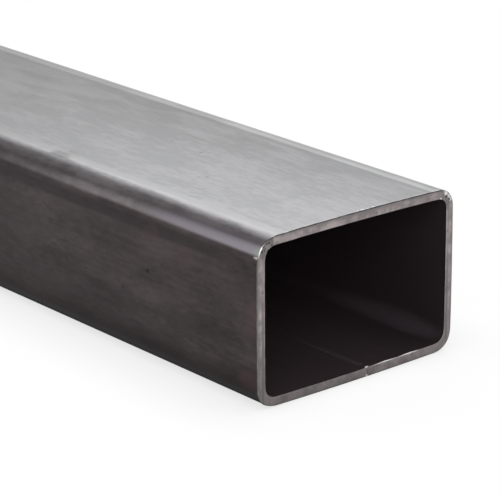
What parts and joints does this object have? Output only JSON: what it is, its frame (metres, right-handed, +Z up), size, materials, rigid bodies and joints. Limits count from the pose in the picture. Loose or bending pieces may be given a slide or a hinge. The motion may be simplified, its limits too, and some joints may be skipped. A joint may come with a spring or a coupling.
{
  "type": "rectangular steel tube",
  "caption": "Rectangular hollow steel tube with rounded corners, square sawn open ends and a weld bead along the inside of one wide wall.",
  "frame": {"origin": "on the floor under the middle of the tube: the middle of the bottom wall's outside face", "axes": "+X along the tube, towards the sawn end seen in the picture, +Y across the wide walls, towards the side that the weld seam is nearer to, +Z up"},
  "size_m": [0.6096, 0.0762, 0.0508],
  "materials": {
    "mill_steel": "satin"
  },
  "bodies": {
    "root": {"rectangular_tube": "mill_steel"}
  },
  "joints": []
}
